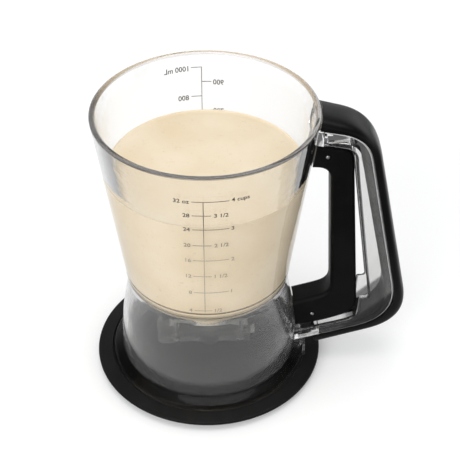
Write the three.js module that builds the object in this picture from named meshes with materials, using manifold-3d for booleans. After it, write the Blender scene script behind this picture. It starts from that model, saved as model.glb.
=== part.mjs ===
// Pancake batter dispenser: a clear measuring jug on a black drip tray, with a squeeze lever in its
// handle that pulls a gate open under the funnel.
// Millimetres, +Z up. The origin is on the jug's axis at the table, the handle lies along +X and the
// measuring scale faces -Y.
import * as THREE from 'three';
import { mergeVertices } from 'three/addons/utils/BufferGeometryUtils.js';
import Module from 'manifold-3d';

const wasm = await Module();
wasm.setup();

// Fits
const seatGap = 0.3;          // between pieces that lie against each other
const slideGap = 0.45;        // beside a piece that slides or turns
const overrun = 6;            // how far a cutter runs past what it cuts
const fuse = 1;               // how far a joined form reaches into its neighbour

// Jug
const rimRadius = 65;
const rimHeight = 185.3;
const jugWall = 3.2;
const lipRound = 1.5;
const waistShare = 0.7585;     // waist, skirt and foot ring keep their share of the rim
const waistHeight = 67;
const skirtShare = 0.8492;
const skirtWall = 2.8;
const footShare = 0.9431;
const footTop = 9;            // at the foot ring's outer edge
const footRise = 2.8;         // how much higher the ring is where it meets the skirt
const footThickness = 3;
const footRound = 0.8;
const turns = 56;             // facets of the large round forms

// Weld between container and skirt: the skirt's thin upper ring laps round the container's foot
const seamTop = 77;
const seamHeight = 7.8;
const seamDepth = 1.6;

// Funnel and spout inside the jug
const funnelTop = 74;
const spoutMouth = 50;
const funnelWall = 2.8;
const boreRadius = 6;
const spoutRadius = 10.5;
const spoutBottom = 31.3;
const counterboreRadius = 7.6;
const counterboreDepth = 3.9;
const bossRadius = 3.6;
const bossReachX = 20;
const bossReachY = 15.6;
const pilotRadius = 1.55;
const pilotDepth = 11;

// Drip tray
const trayLedge = 10.2;       // from the foot ring to the tray's edge
const trayInnerTop = 7.4;
const trayRimTop = 6.1;
const trayRimThickness = 2;
const trayFloor = 2.6;
const dishMargin = 14.3;      // from the foot ring in to the dish
const recessClearance = 0.8;
const trayFootMargin = 2.3;
const trayFootWidth = 4;
const trayFootHeight = 2.2;

// Handle: every outline is in shares of handleReach outwards from the rim and of rimHeight upwards
const handleReach = 57.5;
const frameHalfWidth = 11.5;
const frameWall = 2;
const headWeb = 4.5;
const web = 1.4;
const legCore = 4.6;          // depth of the grip's core inside the frame, along the leg
const footCore = 3.2;         // and along the lower arm
const mountReach = 1;         // how far past the rim the container's own stub ends and the frame starts
const endWall = 2.5;
const gripHalfWidth = 13;
const gripJugGap = 0.5;
const drainHalfWidth = 7.2;
const gussetHalfWidth = 16.5;

// Squeeze lever and its pins
const leverHalfWidth = 8.8;
const leverRound = 2.8;
const leverJugGap = 0.8;
const leverWall = 2.1;
const squeezeDegrees = 6.5;
const pinRadius = 1.25;
const pinProud = 0.25;
const pinDome = 0.5;
const earHalfWidth = 3.1;
const earThickness = 2.6;
const pocketRoom = 1.6;

// Return spring
const wireRadius = 0.45;
const coilRadius = 2.75;
const coilTurns = 4.25;
const coilPitch = 1.42;
const frameLeg = 9;
const leverLeg = 3.9;

// Gate, pull rod and valve guide
const gateBottom = 22;
const gateThickness = 4;
const gateHalfWidth = 9;
const gateLand = 4.8;         // plate left beyond the hole
const gateFront = 29;
const gateRound = 3;
const rodHalfWidth = 4.8;
const rodFront = 36.3;        // where the rod starts to climb
const rodRise = 1.2;          // from the climb's end to the eye's underside
const rodClimbLength = 11.2;
const rodThickness = 5;
const eyeHalfLength = 4.2;
const eyeBelow = 6.2;
const eyeAbove = 3.9;
const keyHalfWidth = 3;
const keyDepth = 2.2;
const guideBack = -32;
const guideFront = 26;
const guideFloor = 3.1;
const guideWall = 2.7;
const earRadius = 4.1;
const earHeight = 3.6;
const nozzleRadius = 10.4;
const nozzleTip = 8.2;
const nozzleBore = 7;
const nozzleDrop = 7.2;
const postLength = 11;
const postHalfWidth = 7.5;
const postDrop = 6.4;
const slotHalfWidth = 5.8;
const slotAbove = 5.4;        // above the link pin
const screwHead = 2.6;
const screwHeadHeight = 1.9;
const screwShank = 1.25;

// Derived places
const footBottom = footTop - footThickness;
const waistRadius = rimRadius * waistShare;
const skirtRadius = rimRadius * skirtShare;
const footRadius = rimRadius * footShare;
const trayRadius = footRadius + trayLedge;
const dishRadius = footRadius - dishMargin;
const trayFootRadius = footRadius + trayFootMargin;
const mountFace = rimRadius + mountReach;
const gateTop = gateBottom + gateThickness;
const guideTop = spoutBottom - seatGap;
const pivot = handlePoint([0.0713, 0.8494]);
const link = handlePoint([0.0052, 0.1975]);
const squeeze = THREE.MathUtils.degToRad(squeezeDegrees);
const travel = (pivot[1] - link[1]) * Math.sin(squeeze);

const clearPlastic = new THREE.MeshStandardMaterial({ color: 0xe9eceb, roughness: 0.08, metalness: 0 });
const blackPlastic = new THREE.MeshStandardMaterial({ color: 0x1b1b1b, roughness: 0.45, metalness: 0 });
const softBlack = new THREE.MeshStandardMaterial({ color: 0x222222, roughness: 0.6, metalness: 0 });
const silicone = new THREE.MeshStandardMaterial({ color: 0xd9d8d2, roughness: 0.55, metalness: 0 });
const greyPlastic = new THREE.MeshStandardMaterial({ color: 0x8d8f8e, roughness: 0.4, metalness: 0 });
const steel = new THREE.MeshStandardMaterial({ color: 0xc4c6c8, roughness: 0.25, metalness: 1 });

function handlePoint([out, up]) {
  return [rimRadius + out * handleReach, up * rimHeight];
}

// Geometry helpers
function closed(geometry) {
  const bare = geometry.clone();
  bare.deleteAttribute('normal');
  bare.deleteAttribute('uv');
  const merged = mergeVertices(bare);
  if (volumeOf(merged) < 0) {
    merged.index.array.reverse();
  }
  return merged;
}

function volumeOf(geometry) {
  const [a, b, c] = [new THREE.Vector3(), new THREE.Vector3(), new THREE.Vector3()];
  const { position } = geometry.attributes;
  const corners = geometry.index.array;
  let six = 0;
  for (let i = 0; i < corners.length; i += 3) {
    a.fromBufferAttribute(position, corners[i]);
    b.fromBufferAttribute(position, corners[i + 1]);
    c.fromBufferAttribute(position, corners[i + 2]);
    six += a.dot(b.cross(c));
  }
  return six / 6;
}

function solid(geometry) {
  const merged = closed(geometry);
  return new wasm.Manifold(new wasm.Mesh({
    numProp: 3,
    vertProperties: new Float32Array(merged.attributes.position.array),
    triVerts: new Uint32Array(merged.index.array),
  }));
}

function geometryOf(manifold) {
  const { vertProperties, triVerts } = manifold.getMesh();
  const geometry = new THREE.BufferGeometry();
  geometry.setAttribute('position', new THREE.BufferAttribute(vertProperties, 3));
  geometry.setIndex(new THREE.BufferAttribute(triVerts, 1));
  geometry.computeVertexNormals();
  return geometry;
}

function piece(name, shape, material) {
  const geometry = shape.isBufferGeometry ? closed(shape) : geometryOf(shape);
  geometry.computeVertexNormals();
  const mesh = new THREE.Mesh(geometry, material);
  mesh.name = name;
  return mesh;
}

// A profile of [radius, height] points turned round the jug's axis
function revolve(profile, facets) {
  const points = profile.map(([radius, height]) => new THREE.Vector2(radius, height));
  return new THREE.LatheGeometry(points, facets).rotateX(Math.PI / 2);
}

function disc(radius, bottom, top, x, y, facets) {
  const geometry = new THREE.CylinderGeometry(radius, radius, top - bottom, facets);
  return solid(geometry.rotateX(Math.PI / 2).translate(x, y, (top + bottom) / 2));
}

function block([x0, x1], [y0, y1], [z0, z1]) {
  const geometry = new THREE.BoxGeometry(x1 - x0, y1 - y0, z1 - z0);
  return solid(geometry.translate((x0 + x1) / 2, (y0 + y1) / 2, (z0 + z1) / 2));
}

// A side outline whose corners are eased over the length given as the third value
function easedShape(corners) {
  const shape = new THREE.Shape();
  corners.forEach(([x, z, ease = 0], i) => {
    const here = new THREE.Vector2(x, z);
    const before = new THREE.Vector2(...corners.at(i - 1).slice(0, 2));
    const after = new THREE.Vector2(...corners[(i + 1) % corners.length].slice(0, 2));
    const start = before.sub(here).setLength(ease).add(here);
    const end = after.sub(here).setLength(ease).add(here);
    if (i === 0) {
      shape.moveTo(start.x, start.y);
    } else {
      shape.lineTo(start.x, start.y);
    }
    if (ease > 0) {
      shape.quadraticCurveTo(here.x, here.y, end.x, end.y);
    }
  });
  shape.closePath();
  return shape;
}

// A side outline carried across Y, centred on the handle's plane
function slab(corners, halfWidth, round = 0) {
  const geometry = new THREE.ExtrudeGeometry(easedShape(corners), {
    depth: 2 * (halfWidth - round),
    curveSegments: 7,
    bevelEnabled: round > 0,
    bevelThickness: round,
    bevelSize: round,
    bevelOffset: -round,
    bevelSegments: 3,
  });
  return solid(geometry.rotateX(Math.PI / 2).translate(0, halfWidth - round, 0));
}

function crossPin(radius, halfLength, [x, z], facets) {
  const geometry = new THREE.CylinderGeometry(radius, radius, 2 * halfLength, facets);
  return solid(geometry.translate(x, 0, z));
}

// Rings of points joined in order, with both ends closed
function loft(rings) {
  const count = rings[0].length;
  const positions = rings.flat().flatMap((point) => point.toArray());
  const triangles = [];
  for (let r = 0; r + 1 < rings.length; r += 1) {
    for (let i = 0; i < count; i += 1) {
      const [a, b] = [r * count + i, r * count + (i + 1) % count];
      triangles.push(a, b, b + count, a, b + count, a + count);
    }
  }
  for (let i = 1; i + 1 < count; i += 1) {
    const last = (rings.length - 1) * count;
    triangles.push(0, i + 1, i, last, last + i, last + i + 1);
  }
  const geometry = new THREE.BufferGeometry();
  geometry.setAttribute('position', new THREE.Float32BufferAttribute(positions, 3));
  geometry.setIndex(triangles);
  return geometry;
}

// Jug profile. The bell of the skirt is in shares of its flare and of its height.
const bellShares = [[0.1, 0.875], [0.4, 0.695], [0.71, 0.515], [0.9, 0.335], [1, 0.155], [0.985, 0.04]];
const funnelShares = [[0.985, 0.962], [0.955, 0.925], [0.5, 0.485], [0.09, 0.09]];

const skirtBottom = footTop + footRise;

function skirtPoints(inset) {
  const flare = skirtRadius - waistRadius;
  const height = waistHeight - skirtBottom;
  return bellShares.map(([out, up]) => [waistRadius + out * flare - inset, skirtBottom + up * height]);
}

function outerRadiusAt(height) {
  const share = (height - waistHeight) / (rimHeight - waistHeight);
  return waistRadius + share * (rimRadius - waistRadius);
}

// The skirt and the foot ring from the waist down to the ring's underside
function lowerProfile() {
  return [
    [waistRadius, waistHeight],
    ...skirtPoints(0),
    [skirtRadius, skirtBottom],
    [footRadius - footRound, footTop + footRound / 4],
    [footRadius, footTop - footRound],
    [footRadius, footBottom + footRound],
    [footRadius - footRound, footBottom],
  ];
}

function seamPoint(height, depth) {
  return [outerRadiusAt(height) - depth, height];
}

function funnelPoints(lower) {
  const wallRadius = outerRadiusAt(funnelTop) - jugWall;
  return funnelShares.map(([out, up]) => [
    boreRadius + out * (wallRadius - boreRadius),
    spoutMouth + up * (funnelTop - spoutMouth) - lower,
  ]);
}

function containerProfile() {
  const seamFoot = seamTop - seamHeight;
  const drop = funnelWall * 1.2;
  const under = funnelPoints(drop).filter(([, height]) => height < seamFoot);
  const [top] = funnelPoints(drop).slice(-2);
  const slope = (funnelTop - spoutMouth) / (outerRadiusAt(funnelTop) - jugWall - boreRadius);
  under[under.length - 1] = [spoutRadius + fuse, spoutMouth - drop + slope * (spoutRadius - boreRadius)];
  return [
    [rimRadius, rimHeight - lipRound],
    seamPoint(seamTop, 0),
    seamPoint(seamTop, seamDepth),
    seamPoint(seamFoot, seamDepth),
    [top[0] + (seamFoot - top[1]) / slope, seamFoot],
    ...under,
    [spoutRadius, spoutMouth - 2 * funnelWall],
    [spoutRadius, spoutBottom],
    [counterboreRadius, spoutBottom],
    [counterboreRadius, spoutBottom + counterboreDepth],
    [boreRadius, spoutBottom + counterboreDepth],
    [boreRadius, spoutMouth],
    ...funnelPoints(0).reverse(),
    [outerRadiusAt(funnelTop) - jugWall, funnelTop],
    [rimRadius - jugWall, rimHeight - lipRound],
    [rimRadius - jugWall + lipRound / 3, rimHeight - lipRound / 3],
    [rimRadius - jugWall + lipRound, rimHeight],
    [rimRadius - lipRound, rimHeight],
    [rimRadius - lipRound / 3, rimHeight - lipRound / 3],
    [rimRadius, rimHeight - lipRound],
  ];
}

function skirtProfile() {
  const shelf = seamTop - seamHeight - seatGap;
  return [
    seamPoint(seamTop - seatGap, 0),
    ...lowerProfile(),
    [skirtRadius - skirtWall, footBottom],
    ...skirtPoints(skirtWall).reverse(),
    [waistRadius - skirtWall, waistHeight],
    [waistRadius - skirtWall, shelf],
    seamPoint(shelf, seamDepth - seatGap),
    seamPoint(seamTop - seatGap, seamDepth - seatGap),
    seamPoint(seamTop - seatGap, 0),
  ];
}

// The jug's outside as a full solid, grown by a gap: it trims whatever butts against the jug
function jugEnvelope(gap) {
  const grown = lowerProfile().map(([radius, height]) => [radius + gap, height]);
  const profile = [
    [0, rimHeight + overrun],
    [rimRadius + gap, rimHeight + overrun],
    [rimRadius + gap, rimHeight - lipRound],
    ...grown,
    [0, footBottom],
  ];
  return solid(revolve(profile, turns));
}

// Handle outlines
const frameShares = {
  footInner: [-0.365, 0.0691],
  footOuter: [0.949, 0.1921, 0.487],
  headOuter: [0.4643, 0.9309, 0.278],
  headInner: [-0.12, 0.965],
  headUnder: [-0.12, 0.9088],
  leverCorner: [0.334, 0.8829, 0.115],
  windowTop: [0.358, 0.8095, 0.115],
  windowFoot: [0.597, 0.2833, 0.06],
  leverHeel: [0.503, 0.286, 0.03],
  leverToe: [0.49, 0.197, 0.095],
  leverSole: [0.33, 0.177, 0.075],
  footUnder: [-0.365, 0.1166],
};

const leverShares = {
  headEnd: [-0.157, 0.8921],
  headCorner: [0.3304, 0.8753, 0.157],
  heel: [0.4957, 0.204, 0.191],
  sole: [0.139, 0.1624, 0.104],
  toe: [-0.365, 0.1263],
  instep: [-0.365, 0.2348],
  armTop: [0.0174, 0.2709, 0.05],
  armCorner: [0.1896, 0.2914, 0.125],
  throat: [0.1061, 0.8052, 0.139],
  chin: [-0.157, 0.8074],
};

const gripCrestShares = [
  [-0.1217, 1.0086], [0.5496, 0.9487, 0.209], [1.0713, 0.1792, 0.417], [0.026, 0.0745],
];
const cavityEaseShares = { head: 0.2, heel: 0.4 };
const coreShares = { head: 0.34, foot: 0.087, bend: 0.05, crown: 0.12 };
const drainShares = { from: 0.055, to: 0.49 };
const gripSectionShares = [
  [1, 0], [1, 0.3], [0.97, 0.52], [0.88, 0.74], [0.72, 0.89], [0.5, 0.965], [0.25, 0.995], [0, 1],
];

function eased([out, up, ease = 0]) {
  return [...handlePoint([out, up]), ease * handleReach];
}

function outline(shares) {
  return Object.values(shares).map(eased);
}

// Both curves of the grip, base and crest, sampled alike: three straights and two bends
function sampleBend(corners, perBend, perStraight) {
  const path = new THREE.Path();
  const [first, bendA, bendB, last] = corners.map(([x, z]) => new THREE.Vector2(x, z));
  const [easeA, easeB] = [corners[1][2], corners[2][2]];
  const along = (from, to, ease) => to.clone().sub(from).setLength(ease).add(from);
  const stops = [
    [first, along(bendA, first, easeA), perStraight],
    [along(bendA, first, easeA), bendA, along(bendA, bendB, easeA), perBend],
    [along(bendA, bendB, easeA), along(bendB, bendA, easeB), perStraight],
    [along(bendB, bendA, easeB), bendB, along(bendB, last, easeB), perBend],
    [along(bendB, last, easeB), last, perStraight],
  ];
  const points = [];
  for (const stop of stops) {
    const count = stop.at(-1);
    const curve = stop.length === 3
      ? new THREE.LineCurve(stop[0], stop[1])
      : new THREE.QuadraticBezierCurve(stop[0], stop[1], stop[2]);
    points.push(...curve.getPoints(count).slice(path.curves.length ? 1 : 0));
    path.add(curve);
  }
  return points;
}

function makeTray() {
  const ledge = footBottom - seatGap;
  const recess = footRadius + recessClearance;
  const rimRound = trayRimThickness / 2;
  return piece('drip_tray', revolve([
    [0, 0],
    [dishRadius, 0],
    [dishRadius + trayFootHeight, trayFootHeight],
    [trayFootRadius - trayFootWidth - trayFootHeight, trayFootHeight],
    [trayFootRadius - trayFootWidth, 0],
    [trayFootRadius, 0],
    [trayFootRadius + trayFootHeight, trayRimTop - trayRimThickness],
    [trayRadius - rimRound, trayRimTop - trayRimThickness],
    [trayRadius - rimRound / 4, trayRimTop - 3 * rimRound / 2],
    [trayRadius, trayRimTop - rimRound],
    [trayRadius - rimRound / 4, trayRimTop - rimRound / 3],
    [trayRadius - rimRound, trayRimTop],
    [recess + rimRound, trayInnerTop],
    [recess + rimRound / 4, trayInnerTop - rimRound / 4],
    [recess, trayInnerTop - rimRound],
    [recess, ledge],
    [dishRadius, ledge],
    [dishRadius - (ledge - trayFloor), trayFloor],
    [0, trayFloor],
  ], turns), blackPlastic);
}

// The stub that the handle frame butts against, with the frame's own section
function makeStub() {
  const room = block(
    [waistRadius, mountFace],
    [-frameHalfWidth, frameHalfWidth],
    [rimHeight / 2, rimHeight],
  );
  return slab(outline(frameShares), frameHalfWidth).intersect(room).subtract(jugEnvelope(-fuse));
}

// The gusset that carries the frame's lower arm down to the foot ring
function makeGusset() {
  const wedge = slab([
    [waistRadius, footBottom + footRound],
    [footRadius, footBottom + footRound],
    [footRadius, footEdge(footRadius) - seatGap],
    [waistRadius, footEdge(waistRadius) - seatGap],
  ], gussetHalfWidth);
  const round = disc(footRadius - footRound / 4, footBottom, spoutMouth, 0, 0, turns);
  return wedge.intersect(round).subtract(jugEnvelope(-fuse));
}

function bossPlaces() {
  return [[1, -1], [1, 1], [-1, 1], [-1, -1]].map(([x, y]) => [x * bossReachX, y * bossReachY]);
}

function makeContainer() {
  let container = solid(revolve(containerProfile(), turns));
  const reach = Math.hypot(bossReachX, bossReachY) - bossRadius;
  const slope = (funnelTop - spoutMouth) / (outerRadiusAt(funnelTop) - jugWall - boreRadius);
  const bossTop = spoutMouth + slope * (reach - boreRadius) - fuse;
  for (const [x, y] of bossPlaces()) {
    container = container.add(disc(bossRadius, spoutBottom, bossTop, x, y, 14));
    container = container
      .subtract(disc(pilotRadius, spoutBottom - overrun, spoutBottom + pilotDepth, x, y, 10));
  }
  return piece('jug_container', container.add(makeStub()), clearPlastic);
}

function makeSkirt() {
  const slot = block(
    [waistRadius - overrun, footRadius + overrun],
    [-slotHalfWidth, slotHalfWidth],
    [gateBottom - slideGap, link[1] + slotAbove],
  );
  const skirt = solid(revolve(skirtProfile(), turns)).add(makeGusset()).subtract(slot);
  return piece('jug_skirt', skirt, clearPlastic);
}

// Heights and places along the two straight runs of the frame's outer edge
function footEdge(x) {
  const [innerX, innerZ] = handlePoint(frameShares.footInner);
  const [outerX, outerZ] = handlePoint(frameShares.footOuter);
  return innerZ + (outerZ - innerZ) / (outerX - innerX) * (x - innerX);
}

function legEdge(z) {
  const [heelX, heelZ] = handlePoint(frameShares.footOuter);
  const [headX, headZ] = handlePoint(frameShares.headOuter);
  return heelX + (headX - heelX) / (headZ - heelZ) * (z - heelZ);
}

function headEdge(x) {
  const [endX, endZ] = handlePoint(frameShares.headInner);
  const [headX, headZ] = handlePoint(frameShares.headOuter);
  return headZ + (endZ - headZ) / (endX - headX) * (x - headX);
}

// The room for the grip's core between the frame's walls, from its bed out past the frame's edge.
// It starts under the head, follows the leg round the heel and ends near the jug.
function coreRun(gap, past) {
  const [heelX, heelZ] = handlePoint(frameShares.footOuter);
  const [headX, headZ] = handlePoint(frameShares.headOuter);
  const heelEase = frameShares.footOuter[2] * handleReach;
  const [startX] = handlePoint([coreShares.head, 0]);
  const [footX] = handlePoint([coreShares.foot, 0]);
  const bedX = heelX - legCore + gap;
  const cornerX = legEdge(headZ - legCore) - legCore + gap;
  return slab([
    [startX + gap, headEdge(startX) - legCore + gap],
    [cornerX, headEdge(cornerX) - legCore + gap, coreShares.bend * handleReach],
    [bedX, footEdge(bedX) + footCore - gap, heelEase - legCore],
    [footX + gap, footEdge(footX) + footCore - gap],
    [footX + gap, footEdge(footX) - past],
    [heelX + past, heelZ - past, heelEase],
    [headX + past, headZ + past, coreShares.crown * handleReach],
    [startX + gap, headEdge(startX) + past],
  ], frameHalfWidth - frameWall - gap);
}

// A clear channel that opens towards the lever, with ears for the pivot pin in its head. Behind its
// web the walls run on, and the grip's core lies between them.
function makeFrame() {
  const [footX] = handlePoint(frameShares.footInner);
  const [heelX] = handlePoint(frameShares.footOuter);
  const [, headZ] = handlePoint(frameShares.headOuter);
  const [endX] = handlePoint(frameShares.headInner);
  const floor = footCore + web;
  const bedX = heelX - legCore - web;
  const underHead = headZ - headWeb;
  const cavity = slab([
    [mountFace + seatGap + endWall, underHead],
    [legEdge(underHead) - legCore - web, underHead, cavityEaseShares.head * handleReach],
    [bedX, footEdge(bedX) + floor, cavityEaseShares.heel * handleReach],
    [footX, footEdge(footX) + floor],
    [endX, link[1]],
    [mountFace + seatGap + endWall, pivot[1]],
  ], frameHalfWidth - frameWall);
  const ear = slab([
    [pivot[0] - earHalfWidth, headZ],
    [pivot[0] - earHalfWidth, pivot[1] - earHalfWidth, earHalfWidth / 2],
    [pivot[0] + earHalfWidth, pivot[1] - earHalfWidth, earHalfWidth / 2],
    [pivot[0] + earHalfWidth, headZ],
  ], leverHalfWidth - leverWall - slideGap);
  const coilRoom = block(
    [pivot[0] - earHalfWidth - overrun, pivot[0] + earHalfWidth + overrun],
    [-earInner(), earInner()],
    [pivot[1] - earHalfWidth - overrun, underHead],
  );
  const head = block(
    [endX - overrun, mountFace + seatGap],
    [-gripHalfWidth, gripHalfWidth],
    [rimHeight / 2, rimHeight + overrun],
  );
  const frame = slab(outline(frameShares), frameHalfWidth)
    .subtract(cavity)
    .subtract(coreRun(0, overrun))
    .add(ear.subtract(coilRoom))
    .subtract(crossPin(pinRadius + seatGap, frameHalfWidth, pivot, 16))
    .subtract(head)
    .subtract(jugEnvelope(seatGap));
  return piece('handle_frame', frame, clearPlastic);
}

function earInner() {
  return leverHalfWidth - leverWall - slideGap - earThickness;
}

function makeGrip() {
  const perBend = 9;
  const perStraight = 5;
  const corners = ['headInner', 'headOuter', 'footOuter', 'footInner'].map((key) => frameShares[key]);
  const placed = corners.map(eased);
  const [endX] = handlePoint(gripCrestShares[3]);
  placed[3] = [endX, footEdge(endX), 0];
  const base = sampleBend(placed, perBend, perStraight);
  const crest = sampleBend(gripCrestShares.map(eased), perBend, perStraight);
  const left = gripSectionShares.slice(0, -1).map(([u, v]) => [-u, v]);
  const section = [...left, ...gripSectionShares.slice().reverse()];
  const rings = base.map((foot, i) => {
    const rise = crest[i].clone().sub(foot);
    const lift = seatGap / rise.length();
    return section.map(([u, v]) => new THREE.Vector3(
      foot.x + rise.x * (lift + v * (1 - lift)),
      u * gripHalfWidth,
      foot.y + rise.y * (lift + v * (1 - lift)),
    ));
  });
  const [drainFrom] = handlePoint([drainShares.from, 0]);
  const [drainTo] = handlePoint([drainShares.to, 0]);
  const drain = block([drainFrom, drainTo], [-drainHalfWidth, drainHalfWidth], [footBottom, link[1]]);
  const grip = solid(loft(rings))
    .add(coreRun(seatGap, fuse))
    .subtract(drain)
    .subtract(jugEnvelope(gripJugGap));
  return piece('handle_grip', grip, softBlack);
}

function makeLever() {
  const body = slab(outline(leverShares), leverHalfWidth, leverRound);
  const pocketHalf = leverHalfWidth - leverWall;
  const headPocket = block(
    [pivot[0] - earHalfWidth - pocketRoom, pivot[0] + earHalfWidth + pocketRoom],
    [-pocketHalf, pocketHalf],
    [pivot[1] - earHalfWidth - pocketRoom, rimHeight],
  );
  const footPocket = block(
    [waistRadius - overrun, link[0] + eyeHalfLength + 2 * pocketRoom],
    [-rodHalfWidth - slideGap * 2, rodHalfWidth + slideGap * 2],
    [gateBottom - overrun, link[1] + eyeAbove + pocketRoom],
  );
  const lever = body
    .subtract(headPocket)
    .subtract(footPocket)
    .subtract(crossPin(pinRadius + seatGap, leverHalfWidth + overrun, pivot, 16))
    .subtract(crossPin(pinRadius + seatGap, leverHalfWidth + overrun, link, 16))
    .subtract(jugEnvelope(leverJugGap));
  return piece('squeeze_lever', lever, softBlack);
}

function makePin(name, place) {
  const half = leverHalfWidth + pinProud;
  const points = [
    [0, -half],
    [pinRadius - pinDome, -half],
    [pinRadius, -half + pinDome],
    [pinRadius, half - pinDome],
    [pinRadius - pinDome, half],
    [0, half],
  ].map(([radius, height]) => new THREE.Vector2(radius, height));
  const geometry = new THREE.LatheGeometry(points, 16).translate(place[0], 0, place[1]);
  return piece(name, geometry, steel);
}

// One unbroken wire: a leg on the frame's web, the coil round the pin and a leg on the lever
class SpringWire extends THREE.Curve {
  getPoint(t) {
    const half = coilTurns * coilPitch / 2;
    const coilLength = coilTurns * 2 * Math.PI * coilRadius;
    const total = frameLeg + coilLength + leverLeg;
    const at = t * total - frameLeg;
    const along = THREE.MathUtils.clamp(at, 0, coilLength);
    const angle = along / coilRadius;
    const past = at - along;
    const x = coilRadius * Math.cos(angle) - past * Math.sin(angle);
    const z = coilRadius * Math.sin(angle) + past * Math.cos(angle);
    return new THREE.Vector3(pivot[0] + x, along / coilLength * 2 * half - half, pivot[1] - z);
  }
}

function leastWireGap() {
  const points = new SpringWire().getPoints(400);
  let least = Infinity;
  const apart = Math.ceil(points.length / coilTurns / 2);
  points.forEach((point, i) => {
    for (let j = i + apart; j < points.length; j += 1) {
      least = Math.min(least, point.distanceTo(points[j]) - 2 * wireRadius);
    }
  });
  return least;
}

function makeSpring() {
  const sides = 5;
  const section = new THREE.Shape();
  for (let i = 0; i < sides; i += 1) {
    const angle = i / sides * 2 * Math.PI;
    const place = [wireRadius * Math.cos(angle), wireRadius * Math.sin(angle)];
    if (i === 0) {
      section.moveTo(...place);
    } else {
      section.lineTo(...place);
    }
  }
  section.closePath();
  const geometry = new THREE.ExtrudeGeometry(section, {
    steps: Math.round(coilTurns * 8) + 8,
    extrudePath: new SpringWire(),
    bevelEnabled: false,
  });
  console.log(`return spring: least gap to itself ${leastWireGap().toFixed(2)} mm`);
  return piece('return_spring', geometry, steel);
}

function makeSeat() {
  const flange = gateHalfWidth;
  const neck = counterboreRadius - seatGap;
  return piece('valve_seat', revolve([
    [boreRadius, gateTop + seatGap],
    [flange, gateTop + seatGap],
    [flange, spoutBottom - seatGap],
    [neck, spoutBottom - seatGap],
    [neck, spoutBottom + counterboreDepth - seatGap],
    [boreRadius, spoutBottom + counterboreDepth - seatGap],
    [boreRadius, gateTop + seatGap],
  ], 32), silicone);
}

function makeGate() {
  const back = -travel - boreRadius - gateLand;
  const plate = solid(new THREE.ExtrudeGeometry(easedShape([
    [back, -gateHalfWidth, gateRound],
    [gateFront, -gateHalfWidth, gateRound / 3],
    [gateFront, gateHalfWidth, gateRound / 3],
    [back, gateHalfWidth, gateRound],
  ]), { depth: gateThickness, curveSegments: 4, bevelEnabled: false }).translate(0, 0, gateBottom));
  const hole = disc(boreRadius, gateBottom - overrun, gateTop + overrun, -travel, 0, 24);
  const gap = seatGap;
  const keyway = block(
    [gateFront - 2 * keyDepth - gap, gateFront - keyDepth + gap],
    [-keyHalfWidth - keyDepth - gap, keyHalfWidth + keyDepth + gap],
    [gateBottom - overrun, gateTop + overrun],
  ).add(block(
    [gateFront - keyDepth, gateFront + overrun],
    [-keyHalfWidth - gap, keyHalfWidth + gap],
    [gateBottom - overrun, gateTop + overrun],
  ));
  return piece('gate_plate', plate.subtract(hole).subtract(keyway), greyPlastic);
}

// The rod keys into the gate, climbs over the skirt's slot and ends in an eye inside the lever
function makeRod() {
  const low = gateBottom;
  const high = link[1] - eyeBelow - rodRise;
  const top = low + rodThickness;
  const start = gateFront + seatGap;
  const eyeX = link[0];
  const neck = slab([
    [start, low],
    [rodFront, low, 2],
    [rodFront + rodClimbLength, high, 3],
    [eyeX - eyeHalfLength, link[1] - eyeBelow, 2],
    [eyeX + eyeHalfLength, link[1] - eyeBelow + pocketRoom, 3],
    [eyeX + eyeHalfLength, link[1] + eyeAbove, 3],
    [eyeX - eyeHalfLength, link[1] + eyeAbove, 3],
    [eyeX - eyeHalfLength, high + rodThickness, 1],
    [rodFront + rodClimbLength - keyDepth, high + rodThickness, 3],
    [rodFront - keyDepth, top, 2],
    [start, top],
  ], rodHalfWidth);
  const stem = block(
    [gateFront - keyDepth - seatGap, start + fuse],
    [-keyHalfWidth, keyHalfWidth],
    [gateBottom, gateTop],
  );
  const key = block(
    [gateFront - 2 * keyDepth, gateFront - keyDepth],
    [-keyHalfWidth - keyDepth, keyHalfWidth + keyDepth],
    [gateBottom, gateTop],
  );
  const eye = pinRadius + seatGap;
  const slot = block(
    [eyeX - eye, eyeX + eye],
    [-rodHalfWidth - overrun, rodHalfWidth + overrun],
    [link[1] - eye - seatGap, link[1] + eye + seatGap],
  );
  return piece('pull_rod', neck.add(stem).add(key).subtract(slot), blackPlastic);
}

function makeGuide() {
  const outer = gateHalfWidth + slideGap + guideWall;
  const floorTop = gateBottom - slideGap;
  const floorBottom = floorTop - guideFloor;
  const shell = block([guideBack, guideFront], [-outer, outer], [floorBottom, guideTop]);
  const channel = block(
    [guideBack + guideWall, guideFront + overrun],
    [-gateHalfWidth - slideGap, gateHalfWidth + slideGap],
    [floorTop, guideTop + overrun],
  );
  let guide = shell.subtract(channel);
  const nozzle = new THREE.CylinderGeometry(nozzleRadius, nozzleTip, nozzleDrop + fuse, 28);
  const nozzleMiddle = floorBottom + (fuse - nozzleDrop) / 2;
  guide = guide.add(solid(nozzle.rotateX(Math.PI / 2).translate(0, 0, nozzleMiddle)));
  guide = guide.add(slab([
    [guideBack, floorBottom + fuse],
    [guideBack, floorBottom - postDrop, postLength / 4],
    [guideBack + postLength, floorBottom - postDrop, postLength / 4],
    [guideBack + postLength, floorBottom + fuse],
  ], postHalfWidth, fuse));
  for (const [x, y] of bossPlaces()) {
    const side = Math.sign(y);
    const edges = [side * (outer - fuse), y].sort((a, b) => a - b);
    const arm = block([x - earRadius, x + earRadius], edges, [guideTop - earHeight, guideTop]);
    guide = guide.add(arm).add(disc(earRadius, guideTop - earHeight, guideTop, x, y, 18));
    guide = guide.subtract(disc(pilotRadius, floorBottom - overrun, guideTop + overrun, x, y, 10));
  }
  guide = guide.subtract(disc(nozzleBore, floorBottom - nozzleDrop - overrun, floorTop + fuse, 0, 0, 28));
  return piece('valve_guide', guide, clearPlastic);
}

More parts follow.
